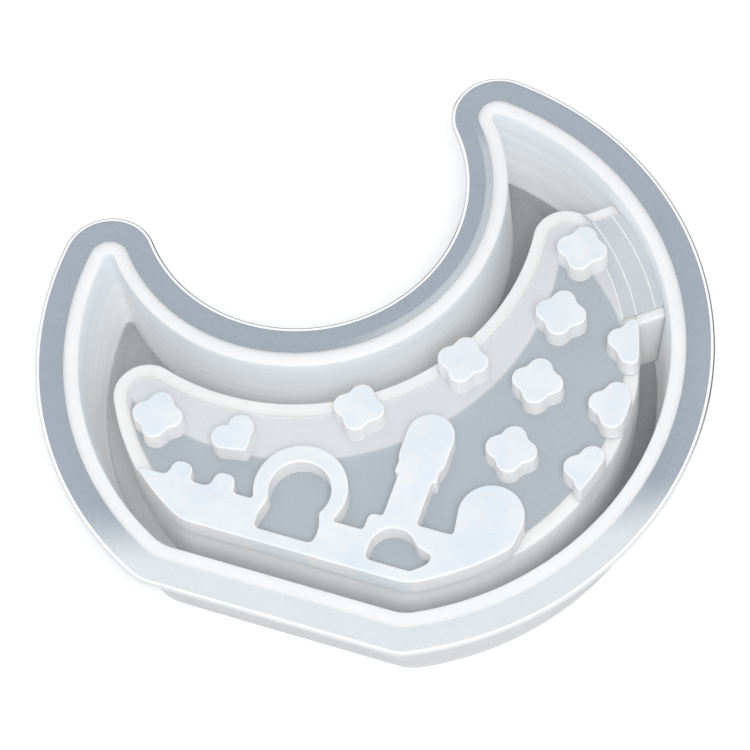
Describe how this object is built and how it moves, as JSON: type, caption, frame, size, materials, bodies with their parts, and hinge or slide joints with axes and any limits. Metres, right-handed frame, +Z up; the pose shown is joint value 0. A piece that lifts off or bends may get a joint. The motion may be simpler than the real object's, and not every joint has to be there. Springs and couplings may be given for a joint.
{
  "type": "resin casting mould",
  "caption": "Crescent-moon silicone casting mould: a pouring flange round a deep trough and a hollow island with flower, heart and castle bosses that leave windows in the cast box.",
  "frame": {"origin": "middle of the whole mould's outline, on the surface that it stands on", "axes": "+Z up out of the open side of the mould; +X along the straight front edge, to the right as seen from the front; +Y from the straight front towards the bay between the horns"},
  "size_m": [0.182, 0.174, 0.032],
  "materials": {
    "wall_silicone": "milky translucent silicone, smooth satin, soft highlights on the rounded rims",
    "sheet_silicone": "thin clear silicone sheet, slightly bluish grey, satin",
    "floor_silicone": "translucent silicone in shade, satin",
    "boss_silicone": "milky silicone with a bluish glossy top and white sides"
  },
  "bodies": {
    "root": {"pouring_flange": "sheet_silicone", "outer_wall": "wall_silicone", "trough_floor": "floor_silicone", "island_wall": "wall_silicone", "island_roof": "sheet_silicone", "notch_rib_upper": "wall_silicone", "notch_rib_lower": "wall_silicone", "notch_sheet": "sheet_silicone", "flower_boss_1": "boss_silicone", "flower_boss_2": "boss_silicone", "flower_boss_3": "boss_silicone", "flower_boss_4": "boss_silicone", "flower_boss_5": "boss_silicone", "flower_boss_6": "boss_silicone", "flower_boss_7": "boss_silicone", "flower_boss_8": "boss_silicone", "flower_boss_9": "boss_silicone", "flower_boss_10": "boss_silicone", "heart_boss": "boss_silicone", "castle_base": "boss_silicone", "castle_merlon_1": "boss_silicone", "castle_merlon_2": "boss_silicone", "castle_gate": "boss_silicone", "castle_step": "boss_silicone", "castle_tower": "boss_silicone", "castle_tower_collar": "boss_silicone", "castle_tower_head": "boss_silicone", "castle_side_wall": "boss_silicone", "castle_dome": "boss_silicone"}
  },
  "joints": []
}
